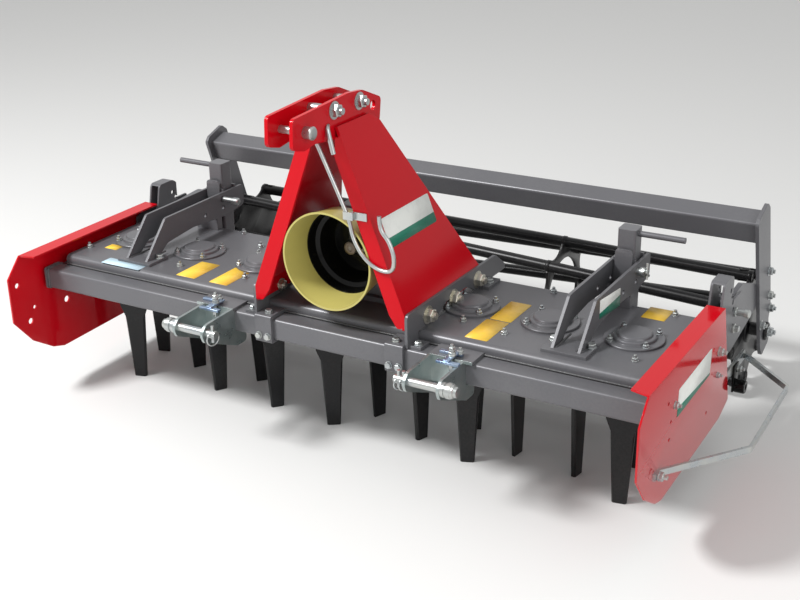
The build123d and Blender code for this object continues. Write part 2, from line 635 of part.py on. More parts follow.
def make_input_shaft():
    """Stub of the input shaft: the free end that a yoke slides on, a collar, and the journal in the gearbox."""
    seat = INPUT_TIP + INPUT_FREE
    free = rod_y(0, SHAFT_Z, INPUT_RADIUS, INPUT_TIP, seat)
    collar = rod_y(0, SHAFT_Z, COLLAR_RADIUS, seat, GEARBOX_FRONT - 2)
    journal = rod_y(0, SHAFT_Z, INPUT_RADIUS + 2, GEARBOX_FRONT - 2, GEARBOX_FRONT + 38)
    return free + collar + journal


def make_shield_cup():
    """Black bowl round the input shaft, in two steps, bolted to the gearbox's nose."""
    outer = (
        (GEARBOX_FRONT, 40), (GEARBOX_FRONT, 84), (-128, 94), (-141, 98), (-146, 110), (CUP_FRONT, CUP_RADIUS),
        (CUP_FRONT, CUP_RADIUS - SHELL), (-146 - SHELL, 106), (-141 - SHELL, 95), (-128 - SHELL, 91),
        (GEARBOX_FRONT - SHELL, 81), (GEARBOX_FRONT - SHELL, 40),
    )
    return turned_y(outer, SHAFT_Z)


def make_shield():
    """Open cone of the drive shield: narrow where it sits on the bowl's rim, wide and beaded in front."""
    seat = CUP_FRONT + 12
    profile = (
        (seat, CUP_RADIUS), (seat, CUP_RADIUS + SHELL), (SHIELD_FRONT + 4, SHIELD_RADIUS), (SHIELD_FRONT + 4, SHIELD_RADIUS + 2),
        (SHIELD_FRONT, SHIELD_RADIUS + 2), (SHIELD_FRONT, SHIELD_RADIUS - SHELL), (CUP_FRONT, CUP_RADIUS),
    )
    return turned_y(profile, SHAFT_Z)


# Hook rod in front of the tower's right leg: it hangs in the top bracket and holds a drive shaft when unhitched
def make_hook_rod():
    y = TOWER_FRONT - HOOK_RADIUS
    x = TOWER_X
    points = (
        (x - 18, y, 903), (x + 78, y, 690), (x + 128, y, 608), (x + 184, y, 602), (x + 190, y, 646), (x + 162, y, 690),
        (x + 163, y, 724),
    )
    return bent_rod(points, HOOK_RADIUS, 20.0)


def make_rod_holder():
    """Clip that holds the rod on the tower's front flange."""
    front = TOWER_FRONT - 2 * HOOK_RADIUS
    plate = block(TOWER_X + 84, TOWER_X + 126, TOWER_FRONT - 3, TOWER_FRONT, 703, 723)
    strap = block(TOWER_X + 64, TOWER_X + 92, front - 3, front, 703, 723)
    back = block(TOWER_X + 84, TOWER_X + 92, front, TOWER_FRONT, 703, 723)
    return fused([plate, strap, back]) - make_hook_rod()


def at_tower(shape):
    return Pos(TOWER_X, 0, 0) * shape


PARTS = {
    "trough": make_trough(),
    "gear_mass": make_gear_mass(),
    "bearing_housings": make_housings(),
    "rotor_covers": make_covers(),
    "front_beam": make_front_beam(),
    "side_plate_right": make_side_plate(1),
    "side_plate_left": make_side_plate(-1),
    "side_carriers": make_side_carriers(),
    "guard_bar": make_guard_bar(),
    "level_arms_right": make_level_arms(),
    "level_arms_left": mirrored(make_level_arms()),
    "level_tubes": make_level_tubes(),
    "level_bar": make_level_bar(),
    "sector_brackets": make_sectors(),
    "roller_arms": make_roller_arms(),
    "roller_end_plates": make_end_plates(),
    "rear_beam": make_rear_beam(),
    "roller_bars": make_roller_bars(),
    "roller_discs": make_roller_discs(),
    "tower_panel_right": at_tower(make_tower_panel()),
    "tower_panel_left": at_tower(mirrored(make_tower_panel())),
    "top_link_bracket": at_tower(make_top_bracket()),
    "top_link_pins": at_tower(make_top_pins()),
    "base_plate_right": at_tower(make_base_plate()),
    "base_plate_left": at_tower(mirrored(make_base_plate())),
    "beam_clamps": at_tower(both_sides(make_beam_clamp())),
    "lower_bracket_right": at_tower(make_lower_bracket()),
    "lower_bracket_left": at_tower(mirrored(make_lower_bracket())),
    "lower_link_pins": at_tower(both_sides(make_lower_pin())),
    "gearbox": at_tower(make_gearbox()),
    "input_shaft": at_tower(make_input_shaft()),
    "shield_cup": at_tower(make_shield_cup()),
    "drive_shield": at_tower(make_shield()),
    "hook_rod": make_hook_rod(),
    "rod_holder": make_rod_holder(),
}
carrier = make_carrier()
tines = make_tines()
for k, (x, angle) in enumerate(zip(ROTOR_PLACES, TINE_ANGLES), start=1):
    PARTS[f"rotor_{k}_carrier"] = Pos(x, 0, 0) * Rot(0, 0, angle) * carrier
    PARTS[f"rotor_{k}_tines"] = Pos(x, 0, 0) * Rot(0, 0, angle) * tines

# The origin goes under the middle of the machine's box
whole = Compound(list(PARTS.values())).bounding_box()
to_origin = Pos(-(whole.min.X + whole.max.X) / 2, -(whole.min.Y + whole.max.Y) / 2, 0)

os.makedirs("parts", exist_ok=True)
for name, shape in PARTS.items():
    export_step(to_origin * shape, f"parts/{name}.step")
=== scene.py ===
import json
from math import atan2, cos, pi, radians, sin

import bmesh
import bpy
from mathutils import Matrix, Vector


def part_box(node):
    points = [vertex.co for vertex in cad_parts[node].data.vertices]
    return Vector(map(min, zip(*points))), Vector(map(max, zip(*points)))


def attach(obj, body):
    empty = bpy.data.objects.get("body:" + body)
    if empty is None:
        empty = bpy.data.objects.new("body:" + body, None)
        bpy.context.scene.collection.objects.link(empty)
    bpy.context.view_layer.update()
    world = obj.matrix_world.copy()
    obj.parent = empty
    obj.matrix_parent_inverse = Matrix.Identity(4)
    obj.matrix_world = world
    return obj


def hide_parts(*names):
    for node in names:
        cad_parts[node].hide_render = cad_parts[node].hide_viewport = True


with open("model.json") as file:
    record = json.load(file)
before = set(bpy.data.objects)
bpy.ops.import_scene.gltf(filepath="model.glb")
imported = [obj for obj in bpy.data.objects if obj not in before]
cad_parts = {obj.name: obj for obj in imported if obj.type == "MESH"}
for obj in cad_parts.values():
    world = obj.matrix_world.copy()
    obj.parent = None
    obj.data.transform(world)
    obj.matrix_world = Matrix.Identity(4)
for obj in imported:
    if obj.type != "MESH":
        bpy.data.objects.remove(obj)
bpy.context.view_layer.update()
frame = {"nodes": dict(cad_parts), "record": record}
NODES = frame["nodes"]

# Millimetres in this file are measured from the middle of the row of rotors, on the floor
TROUGH_FRONT = -205
trough_low, trough_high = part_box("trough")
ROW_MIDDLE = Vector(((trough_low[0] + trough_high[0]) / 2, trough_low[1] - TROUGH_FRONT / 1000, 0))
DECK = 411
TOWER_X = 58
SHAFT_Z = 575
SIDES = (1, -1)


def at(x, y, z):
    """A place given in millimetres."""
    return ROW_MIDDLE + Vector((x, y, z)) / 1000


class Socket:
    """A shader socket with arithmetic, so that masks and mixes read as expressions."""

    def __init__(self, tree, socket):
        self.tree = tree
        self.socket = socket

    def maths(self, operation, *values):
        """One step of arithmetic."""
        node = self.tree.nodes.new("ShaderNodeMath")
        node.operation = operation
        for place, value in enumerate(values):
            if isinstance(value, Socket):
                self.tree.links.new(value.socket, node.inputs[place])
            else:
                node.inputs[place].default_value = value
        return Socket(self.tree, node.outputs[0])

    def __add__(self, other):
        return self.maths("ADD", self, other)

    def __sub__(self, other):
        return self.maths("SUBTRACT", self, other)

    def __mul__(self, other):
        return self.maths("MULTIPLY", self, other)

    def __rsub__(self, other):
        return self.maths("SUBTRACT", other, self)

    __radd__ = __add__
    __rmul__ = __mul__

    def above(self, level, soft):
        """0 below the level and 1 above it, with a soft edge."""
        shifted = (self - level) * (1 / soft) + 0.5
        return self.maths("MINIMUM", self.maths("MAXIMUM", shifted, 0.0), 1.0)


class Finish:
    """A material on Object coordinates."""

    def __init__(self, name):
        self.material = bpy.data.materials.new(name)
        self.material.use_nodes = True
        self.tree = self.material.node_tree
        self.shader = self.tree.nodes["Principled BSDF"]
        coordinates = self.tree.nodes.new("ShaderNodeTexCoord")
        self.place = Socket(self.tree, coordinates.outputs["Object"])
        self.facing = Socket(self.tree, coordinates.outputs["Normal"])

    def node(self, kind, settings=None, output=0, **inputs):
        """Any other node; an input is named, or i and its number where names repeat."""
        made = self.tree.nodes.new("ShaderNode" + kind)
        for key, value in (settings or {}).items():
            setattr(made, key, value)
        for key, value in inputs.items():
            numbered = key[0] == "i" and key[1:].isdigit()
            socket = made.inputs[int(key[1:])] if numbered else made.inputs[key.replace("_", " ")]
            if isinstance(value, Socket):
                self.tree.links.new(value.socket, socket)
            else:
                socket.default_value = value
        return Socket(self.tree, made.outputs[output])

    def noise(self, scale, detail=3.0, place=None):
        return self.node("TexNoise", Vector=place or self.place, Scale=scale, Detail=detail, Roughness=0.55)

    def along(self, axis):
        """The coordinate along one axis, in metres."""
        return self.node("SeparateXYZ", output=axis, Vector=self.place)

    def stretched(self, x, y, z):
        """Object coordinates drawn out along the axes, for rings and streaks."""
        return self.node("Mapping", Vector=self.place, Scale=(x, y, z))

    def mix(self, factor, first, second):
        """A colour between two colours."""
        return self.node(
            "Mix", {"data_type": "RGBA"}, output=2,
            i0=factor, i6=(*first, 1) if isinstance(first, tuple) else first,
            i7=(*second, 1) if isinstance(second, tuple) else second,
        )

    def soft_edges(self, radius):
        """The surface's direction with its sharp edges eased."""
        return self.node("Bevel", {"samples": 4}, Radius=radius)

    def edge_mask(self, radius):
        """1 along sharp edges, where paint rubs thin."""
        true = Socket(self.tree, self.tree.nodes.new("ShaderNodeNewGeometry").outputs["True Normal"])
        eased_edges = self.soft_edges(radius)
        closeness = self.node("VectorMath", {"operation": "DOT_PRODUCT"}, output=1, i0=eased_edges, i1=true)
        return (1 - closeness).above(0.12, 0.16)

    def bump(self, height, strength, distance, normal=None):
        links = {"Normal": normal} if normal else {}
        return self.node("Bump", Height=height, Strength=strength, Distance=distance, **links)

    def set(self, **inputs):
        """Sets the shader's sockets and hands over the material."""
        for key, value in inputs.items():
            socket = self.shader.inputs[key.replace("_", " ")]
            if isinstance(value, Socket):
                self.tree.links.new(value.socket, socket)
            else:
                socket.default_value = (*value, 1) if isinstance(value, tuple) else value
        return self.material


# Finishes
def side_gloss(paint):
    """A wet gloss on upright faces, strongest low down, where the paint lies thickest."""
    low = (1 - paint.along(2).above(0.34, 0.2)) * 0.85 + 0.15
    upwards = paint.node("SeparateXYZ", output=2, Vector=paint.facing)
    lying = upwards.maths("ABSOLUTE", upwards).above(0.5, 0.2)
    return low * (1 - lying)


def painted(name, colour, dusty, worn, roughness, dust, skin, metal=0.0, ior=1.4, gloss=None):
    """Sprayed paint with a fine skin, eased edges, uneven gloss and a little dust."""
    paint = Finish(name)
    patches = paint.noise(3.5, 4.0)
    specks = paint.noise(150.0, 2.0)
    dust_mask = (patches * 0.65 + specks * 0.35).above(0.57, 0.2) * dust
    shade = paint.mix(paint.noise(1.6, 2.0).above(0.5, 0.6), colour, tuple(c * 0.88 for c in colour))
    rubbed = paint.edge_mask(0.0012) * paint.noise(34.0, 4.0).above(0.5, 0.16)
    shade = paint.mix(rubbed * 0.55, shade, worn)
    ripple = paint.noise(9.0, 2.0) * 4 + paint.noise(380.0, 1.0)
    return paint.set(
        Base_Color=paint.mix(dust_mask, shade, dusty),
        Roughness=dust_mask * 0.5 + patches * 0.06 + (roughness - 0.03),
        Metallic=metal, IOR=ior, Coat_Weight=gloss(paint) if gloss else 0.0, Coat_Roughness=0.03,
        Normal=paint.bump(ripple, skin, 0.0004, paint.soft_edges(0.0014)),
    )


def zinc_finish(name, bright, dull):
    """Zinc plating: cloudy, fine grained and a little blue or yellow."""
    plating = Finish(name)
    clouds = plating.noise(26.0, 4.0)
    grain = plating.noise(300.0, 2.0)
    return plating.set(
        Base_Color=plating.mix(clouds.above(0.5, 0.4), bright, dull),
        Metallic=0.9, Roughness=clouds * 0.22 + grain * 0.06 + 0.16,
        Normal=plating.bump(grain + clouds * 2, 0.16, 0.0004, plating.soft_edges(0.0008)),
    )


def steel_finish():
    """Turned steel: fine rings round the shaft and a film of oil."""
    turning = Finish("steel")
    rings = turning.noise(40.0, 2.0, turning.stretched(1, 30, 1))
    return turning.set(
        Base_Color=turning.mix(turning.noise(30.0), (0.26, 0.23, 0.19), (0.14, 0.12, 0.10)),
        Metallic=0.9, Roughness=rings * 0.2 + 0.26,
        Normal=turning.bump(rings, 0.2, 0.0003, turning.soft_edges(0.0008)),
    )


def moulded(name, colour, roughness, coat=0.0, grain=0.06, ior=1.5):
    """Moulded plastic with a faint grain and a soft flow in its colour."""
    plastic = Finish(name)
    patches = plastic.noise(6.0, 3.0)
    return plastic.set(
        Base_Color=plastic.mix(patches.above(0.5, 0.6), colour, tuple(c * 0.86 for c in colour)),
        Roughness=patches * 0.1 + roughness, Coat_Weight=coat, Coat_Roughness=0.06, IOR=ior,
        Normal=plastic.bump(plastic.noise(500.0, 1.0), grain, 0.0003, plastic.soft_edges(0.0008)),
    )


def weld_finish():
    """Weld bead under paint: rippled along its length."""
    bead = Finish("weld_seam")
    ripples = bead.noise(190.0, 1.0)
    return bead.set(
        Base_Color=bead.mix(ripples, (0.085, 0.085, 0.088), (0.06, 0.06, 0.062)),
        Roughness=ripples * 0.15 + 0.3, Normal=bead.bump(ripples, 0.8, 0.0012),
    )


def bracket_finish():
    """Zinc plated hitch brackets, whose flap on the beam is under the grey paint."""
    plated = Finish("bracket_zinc")
    flap_height = 0.3845
    beam_front = at(0, -271, 0).y
    clouds = plated.noise(22.0, 4.0)
    under_paint = plated.along(2).above(flap_height, 0.001) * plated.along(1).above(beam_front, 0.001)
    bright = plated.mix(clouds.above(0.5, 0.4), (0.30, 0.36, 0.36), (0.44, 0.48, 0.47))
    return plated.set(
        Base_Color=plated.mix(under_paint, bright, (0.13, 0.13, 0.138)),
        Metallic=0.9 - under_paint * 0.75, Roughness=clouds * 0.2 + 0.2 + under_paint * 0.1,
        Normal=plated.bump(clouds * 2 + plated.noise(300.0, 2.0), 0.16, 0.0004, plated.soft_edges(0.0008)),
    )


def gearbox_and_bowl_shade_finish():
    """Painted casting, with painted shade: near black where it closes the bottom of the shaft's bowl, deep in
    its recess.
    """
    casting = Finish("gearbox_paint_and_bowl_shade")
    bowl_radius_squared = 0.0135
    bowl_floor = at(0, -84, 0).y
    centre = at(TOWER_X, 0, SHAFT_Z)
    across = casting.along(0) - centre.x
    height = casting.along(2) - centre.z
    outside = (across * across + height * height).above(bowl_radius_squared, 0.0005)
    # Where the painted shade goes: the casting inside the bowl's radius and in front of the bowl's floor.
    bowl_painted_shade = (1 - outside) * (1 - casting.along(1).above(bowl_floor, 0.001))
    skin = casting.noise(110.0, 3.0)
    grey = casting.mix(skin, (0.13, 0.13, 0.14), (0.11, 0.11, 0.118))
    return casting.set(
        # Painted shade: the casting in the bowl is coloured near black and made a little glossier, standing in
        # for the dark of the deep recess.
        Base_Color=casting.mix(bowl_painted_shade, grey, (0.006, 0.006, 0.006)),
        Roughness=skin * 0.1 + 0.34 - bowl_painted_shade * 0.15,
        Normal=casting.bump(skin, 0.2, 0.0006, casting.soft_edges(0.002)),
    )


def vinyl(name, colour):
    """Film: smooth, a little dusty, its colour slightly uneven."""
    film = Finish(name)
    dust = (film.noise(60.0, 3.0) * 0.6 + film.noise(7.0, 2.0) * 0.4).above(0.56, 0.2)
    return film.set(
        Base_Color=film.mix(dust * 0.25, colour, tuple(0.5 * c + 0.12 for c in colour)),
        Roughness=dust * 0.2 + 0.3, IOR=1.4, Normal=film.bump(film.noise(45.0, 2.0), 0.05, 0.0004),
    )


RED = (0.56, 0.003, 0.010)
DUSTY_RED = (0.50, 0.06, 0.06)
WORN_RED = (0.5, 0.06, 0.05)
grey_paint = painted(
    "grey_paint", (0.136, 0.136, 0.146), dusty=(0.27, 0.265, 0.26), worn=(0.22, 0.22, 0.22),
    roughness=0.33, dust=0.14, skin=0.1, metal=0.25)
black_paint = painted(
    "black_paint", (0.008, 0.008, 0.009), dusty=(0.09, 0.085, 0.08), worn=(0.1, 0.09, 0.08),
    roughness=0.3, dust=0.16, skin=0.12, ior=1.36)
red_paint = painted(
    "red_paint", RED, DUSTY_RED, WORN_RED, roughness=0.13, dust=0.03, skin=0.04, ior=1.24)
red_gloss = painted(
    "red_gloss", RED, DUSTY_RED, WORN_RED, roughness=0.1, dust=0.03, skin=0.03, ior=1.26, gloss=side_gloss)
zinc = zinc_finish("zinc", bright=(0.40, 0.43, 0.45), dull=(0.52, 0.53, 0.50))
blue_zinc = zinc_finish("blue_zinc", bright=(0.24, 0.36, 0.58), dull=(0.42, 0.50, 0.60))
gold_zinc = zinc_finish("gold_zinc", bright=(0.58, 0.55, 0.45), dull=(0.62, 0.60, 0.54))
dark_steel = zinc_finish("dark_steel", bright=(0.10, 0.075, 0.055), dull=(0.17, 0.14, 0.11))
bracket_zinc = bracket_finish()
gearbox_paint_and_bowl_shade = gearbox_and_bowl_shade_finish()
steel = steel_finish()
yellow_plastic = moulded("yellow_plastic", (0.50, 0.44, 0.13), roughness=0.3)
black_plastic = moulded("black_plastic", (0.004, 0.004, 0.004), roughness=0.12, coat=0.1, grain=0.02, ior=1.22)
weld_seam = weld_finish()
sign_yellow = vinyl("sign_yellow", (0.88, 0.56, 0.06))
sign_blue = vinyl("sign_blue", (0.52, 0.70, 0.80))
sign_white = vinyl("sign_white", (0.80, 0.82, 0.78))
sign_green = vinyl("sign_green", (0.02, 0.20, 0.13))

# Finishes of the frame's nodes: by slot, apart from the nodes that have one of their own
SLOT_FINISHES = {
    "grey_paint": grey_paint, "black_paint": black_paint, "red_paint": red_paint, "zinc": zinc,
    "steel": steel, "yellow_plastic": yellow_plastic, "black_plastic": black_plastic,
}
OWN_FINISHES = {
    "lower_bracket_right": bracket_zinc, "lower_bracket_left": bracket_zinc,
    "side_plate_right": red_gloss, "side_plate_left": red_gloss, "gearbox": gearbox_paint_and_bowl_shade,
}
for subpart in frame["record"]["subparts"]:
    slot_finish = SLOT_FINISHES[subpart["material_slot"]]
    materials = NODES[subpart["node"]].data.materials
    for place in range(len(materials)):
        materials[place] = OWN_FINISHES.get(subpart["node"], slot_finish)


# Modelling
def pick_only(*objects):
    """These objects are the selected ones, the first of them active."""
    bpy.ops.object.select_all(action="DESELECT")
    for item in objects:
        item.select_set(True)
    bpy.context.view_layer.objects.active = objects[0]


class Edit:
    """Edit mode on one piece, with nothing picked at first."""

    def __init__(self, piece):
        self.piece = piece

    def __enter__(self):
        pick_only(self.piece)
        bpy.ops.object.mode_set(mode="EDIT")
        bpy.ops.mesh.select_all(action="DESELECT")
        return self

    def __exit__(self, *_):
        bpy.ops.object.mode_set(mode="OBJECT")

    def faces(self, test):
        """Picks the faces that pass the test."""
        bpy.ops.mesh.select_mode(type="FACE")
        bpy.ops.mesh.select_all(action="DESELECT")
        mesh = bmesh.from_edit_mesh(self.piece.data)
        for face in mesh.faces:
            if test(face):
                face.select_set(True)
        bmesh.update_edit_mesh(self.piece.data)

    def all(self):
        bpy.ops.mesh.select_all(action="SELECT")


def up(face):
    """The face looks up."""
    return face.normal.z > 0.9


def height_of(face):
    return face.calc_center_median().z


def place_in_mesh(piece):
    """Moves the piece's place into its mesh, so that the object sits at the origin."""
    pick_only(piece)
    bpy.ops.object.transform_apply(location=True, rotation=False, scale=False)
    return piece


def dress(piece, name, finish, body, smooth=40):
    """Names a finished piece, gives it its finish and sets it on its body."""
    piece.name = name
    piece.data.materials.clear()
    piece.data.materials.append(finish)
    pick_only(piece)
    bpy.ops.object.shade_smooth_by_angle(angle=radians(smooth))
    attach(piece, body)
    return piece


def joined(objects):
    """One object from several."""
    pick_only(*objects)
    if len(objects) > 1:
        bpy.ops.object.join()
    return bpy.context.object


def discard(*objects):
    for item in objects:
        bpy.data.objects.remove(item, do_unlink=True)


UP = (0, 0, 1)
DOWN = (0, 0, -1)
FORWARDS = (0, -1, 0)
REARWARDS = (0, 1, 0)


def outwards(side):
    return (side, 0, 0)


def spot(x, y, z, direction, turn=0.0, size=1.0):
    """A copy's foot in millimetres, the way it points, its turn and its size."""
    return at(x, y, z), direction, turn, size


def copies(master, spots):
    """Copies of a master that stands on the floor and points up, each with its own mesh, joined."""
    made = []
    for place, direction, turn, size in spots:
        twin = master.copy()
        twin.data = master.data.copy()
        bpy.context.scene.collection.objects.link(twin)
        facing = Vector(direction).to_track_quat("Z", "Y").to_matrix().to_4x4()
        turning = Matrix.Rotation(turn, 4, "Z") @ Matrix.Scale(size, 4)
        twin.data.transform(Matrix.Translation(place) @ facing @ turning)
        made.append(twin)
    return joined(made)


def placed(master, spots):
    """Copies of a master that isn't needed any more."""
    made = copies(master, spots)
    discard(master)
    return made


WASHER_THICKNESS = 1.6


def hexagon(across, height, washer, stud=0.0):
    """Bolt head, or a nut with the end of its stud standing out, on a washer of the radius given."""
    lift = WASHER_THICKNESS / 1000
    across, height, washer, stud = across / 1000, height / 1000, washer / 1000, stud / 1000
    bpy.ops.mesh.primitive_cylinder_add(
        vertices=6, radius=across / 2 / cos(pi / 6), depth=height, location=(0, 0, lift + height / 2))
    head = bpy.context.object
    with Edit(head) as edit:
        edit.faces(up)
        bpy.ops.mesh.bevel(offset=across * 0.07, segments=1)
        edit.faces(lambda face: up(face) and face.calc_area() > across * across * 0.3)
        bpy.ops.mesh.inset(thickness=across * 0.06, depth=0 if stud else -across * 0.02)
        bpy.ops.mesh.primitive_cylinder_add(vertices=20, radius=washer, depth=lift, location=(0, 0, lift / 2))
        edit.faces(lambda face: up(face) and abs(height_of(face) - lift) < 1e-5)
        bpy.ops.mesh.inset(thickness=washer * 0.06)
        bpy.ops.transform.translate(value=(0, 0, lift * 0.2))
        if stud:
            bpy.ops.mesh.primitive_cylinder_add(
                vertices=12, radius=across * 0.29, depth=stud, location=(0, 0, lift + height + stud / 2))
            edit.faces(lambda face: up(face) and height_of(face) > lift + height + stud * 0.9)
            bpy.ops.mesh.bevel(offset=across * 0.06, segments=1)
    return place_in_mesh(head)


def turned(profile, sides):
    """Solid of revolution: profile gives (radius, height) in millimetres, from its foot up."""
    radius, height = profile[0]
    bpy.ops.mesh.primitive_circle_add(
        vertices=sides, radius=radius / 1000, fill_type="NGON", location=(0, 0, height / 1000))
    piece = bpy.context.object
    with Edit(piece) as edit:
        edit.all()
        for wider, higher in profile[1:]:
            step = (0, 0, (higher - height) / 1000)
            bpy.ops.mesh.extrude_region_move(TRANSFORM_OT_translate={"value": step})
            bpy.ops.transform.resize(value=(wider / radius, wider / radius, 1), center_override=(0, 0, 0))
            radius, height = wider, higher
        edit.all()
        bpy.ops.mesh.normals_make_consistent(inside=False)
    return place_in_mesh(piece)


def rod(points, radius, order=3, fine=8):
    """Round bar along a smooth line led by points in millimetres; order 2 gives straight runs."""
    bpy.ops.curve.primitive_nurbs_path_add()
    line = bpy.context.object
    line.data.splines.clear()
    spline = line.data.splines.new("NURBS")
    spline.points.add(len(points) - 1)
    for point, place in zip(spline.points, points):
        point.co = (*at(*place), 1)
    spline.order_u = order
    spline.use_endpoint_u = True
    spline.resolution_u = fine
    line.data.bevel_depth = radius / 1000
    line.data.bevel_resolution = 3
    line.data.use_fill_caps = True
    line.matrix_world = Matrix()
    pick_only(line)
    bpy.ops.object.convert(target="MESH")
    return bpy.context.object


def straight(start, end, radius):
    """Straight round bar between two points in millimetres."""
    return rod((start, end), radius, 2)


def slab(low, high, ease):
    """Flat bar between two corners in millimetres, its edges eased."""
    middle = at(*[(a + b) / 2 for a, b in zip(low, high)])
    sizes = [abs(b - a) / 1000 for a, b in zip(low, high)]
    bpy.ops.mesh.primitive_cube_add(size=1, location=(0, 0, 0))
    bar = bpy.context.object
    bar.data.transform(Matrix.Translation(middle) @ Matrix.Diagonal((*sizes, 1)))
    with Edit(bar) as edit:
        edit.all()
        bpy.ops.mesh.bevel(offset=ease / 1000, segments=2)
    return bar


def cut(piece, cutters):
    """Takes the cutters out of a piece."""
    knife = joined(cutters)
    pick_only(piece)
    boolean = piece.modifiers.new("cut", "BOOLEAN")
    boolean.operation = "DIFFERENCE"
    boolean.solver = "EXACT"
    boolean.object = knife
    bpy.ops.object.modifier_apply(modifier="cut")
    discard(knife)
    return piece


def eased(piece, width):
    """Eases a piece's sharp edges."""
    pick_only(piece)
    bevel = piece.modifiers.new("ease", "BEVEL")
    bevel.width = width / 1000
    bevel.segments = 2
    bevel.limit_method = "ANGLE"
    bevel.angle_limit = radians(40)
    bpy.ops.object.modifier_apply(modifier="ease")
    return piece


def hollow_ends(piece, reach, wall, depth):
    """Opens the ends of tubes that lie along X, past reach on either side."""
    with Edit(piece) as edit:
        edit.faces(lambda face: abs(face.normal.x) > 0.9
                   and abs(face.calc_center_median().x - ROW_MIDDLE.x) > reach / 1000)
        bpy.ops.mesh.inset(thickness=wall / 1000, depth=-depth / 1000, use_individual=True)
    return piece


# Masters of the small hardware
nut = hexagon(13, 6.5, 8.5, 6)
big_bolt = hexagon(24, 12, 18, 7)
plain_bolt = hexagon(13, 6, 8.5)

# Lids over the rotors, stepped up to a flat middle, and the nuts round them; none under the gearbox
PITCH = 225
LID_X = [(k - 3.5) * PITCH for k in (0, 1, 2, 5, 6, 7)]
LID_FLANGE = 6
LID_PROFILE = (
    (76, 0), (76, 4.5), (74.5, LID_FLANGE), (56, LID_FLANGE), (54, 12), (51, 14), (45, 14), (43, 18.5),
    (40, 20.5), (3, 21.5),
)
LID_NUT_RADIUS = 66
LID_NUT_START = 44
lid = turned(LID_PROFILE, 64)
rotor_lids = placed(lid, [spot(x, 0, DECK, UP, 0.3 * number) for number, x in enumerate(LID_X)])
dress(rotor_lids, "rotor_lids", grey_paint, "frame", 25)
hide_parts("rotor_covers")
lid_nuts = []
for number, x in enumerate(LID_X):
    for quarter in range(4):
        angle = radians(LID_NUT_START + 90 * quarter)
        lid_nuts.append(spot(
            x + LID_NUT_RADIUS * cos(angle), LID_NUT_RADIUS * sin(angle), DECK + LID_FLANGE,
            UP, radians(17 * (number + 2 * quarter)), 1.05))
dress(copies(nut, lid_nuts), "cover_nuts", zinc, "frame")

DECK_NUTS = (
    (-884, -120), (-541, -121), (-318, -110), (-543, 190), (-426, 117), (361, -95), (489, -120), (488, 190),
    (832, -117), (827, 190), (-827, 190), (-203, 190), (203, 190),
)
deck_nuts = [spot(x, y, DECK, UP, radians(23 * number), 1.1) for number, (x, y) in enumerate(DECK_NUTS)]
dress(copies(nut, deck_nuts), "deck_nuts", zinc, "frame")

# Bolts through the base plates and the tower's tabs, and the nuts behind them
BASE_FACE = 234
TAB_FACE = 218
BASE_BOLTS = ((-157, 438), (-17, 434), (122, 437))
base_bolts = []
base_nuts = []
for side in SIDES:
    for number, (y, z) in enumerate(BASE_BOLTS):
        base_bolts.append(spot(
            TOWER_X + side * BASE_FACE, y, z, outwards(side), radians(11 + 31 * number), 1.2))
        base_nuts.append(spot(TOWER_X + side * TAB_FACE, y, z, outwards(-side), radians(5 + 20 * number)))
dress(placed(hexagon(27, 14, 20, 6), base_bolts), "base_plate_bolts", gold_zinc, "frame")
dress(placed(hexagon(24, 10, 17.5, 4), base_nuts), "base_plate_nuts", gold_zinc, "frame")

# Bolts in the feet of the base plates, the clamps on the beam and the feet of the levelling arms
FOOT = DECK + 8
CLAMP_FACE = -275
foot_bolts = []
for side in SIDES:
    foot_bolts.append(spot(TOWER_X + side * 195, -252, 394, UP, 0.2, 1.3))
    foot_bolts.append(spot(TOWER_X + side * 253, -242, 392, UP, 0.5, 1.3))
    foot_bolts.append(spot(TOWER_X + side * 253, 160, FOOT, UP, 0.9, 1.35))
    foot_bolts.append(spot(TOWER_X + side * 186, CLAMP_FACE, 336, FORWARDS, 0.1, 1.2))
    foot_bolts.append(spot(TOWER_X + side * 214, CLAMP_FACE, 336, FORWARDS, 0.7, 1.2))
    foot_bolts.append(spot(side * 621, -112, FOOT, UP, 0.3, 1.5))
    foot_bolts.append(spot(side * 719, -112, FOOT, UP, 0.8, 1.5))
dress(copies(plain_bolt, foot_bolts), "foot_bolts", zinc, "frame")

# Spacer bolts through the top bracket
TOP_FACE = 40
SPACER_BOLTS = ((-260, 970), (-146, 968))
spacer_bolts = []
for y, z in SPACER_BOLTS:
    spacer_bolts.append(spot(TOWER_X + TOP_FACE, y, z, outwards(1), 0.3, 1.25))
    spacer_bolts.append(spot(TOWER_X - TOP_FACE, y, z, outwards(-1), 0.8, 1.25))
dress(copies(big_bolt, spacer_bolts), "top_bracket_bolts", zinc, "frame")

# Nuts on the side plates; one of them stands on the front end of the guard bar
SIDE_FACE = 949
GUARD_BAR_END = 10
side_nuts = [
    spot(SIDE_FACE, 184, 338, outwards(1), 0.2, 1.5), spot(SIDE_FACE, 184, 272, outwards(1), 0.6),
    spot(SIDE_FACE, -157, 340, outwards(1), 0.5, 1.2),
    spot(SIDE_FACE + GUARD_BAR_END, -273, 212, outwards(1), 0.5, 1.5),
    spot(-SIDE_FACE, -157, 340, outwards(-1), 0.2, 1.3), spot(-SIDE_FACE, 184, 338, outwards(-1), 0.5, 1.3),
    spot(-SIDE_FACE, -282, 222, outwards(-1), 0.1, 1.4),
]
dress(copies(nut, side_nuts), "side_plate_nuts", zinc, "frame")

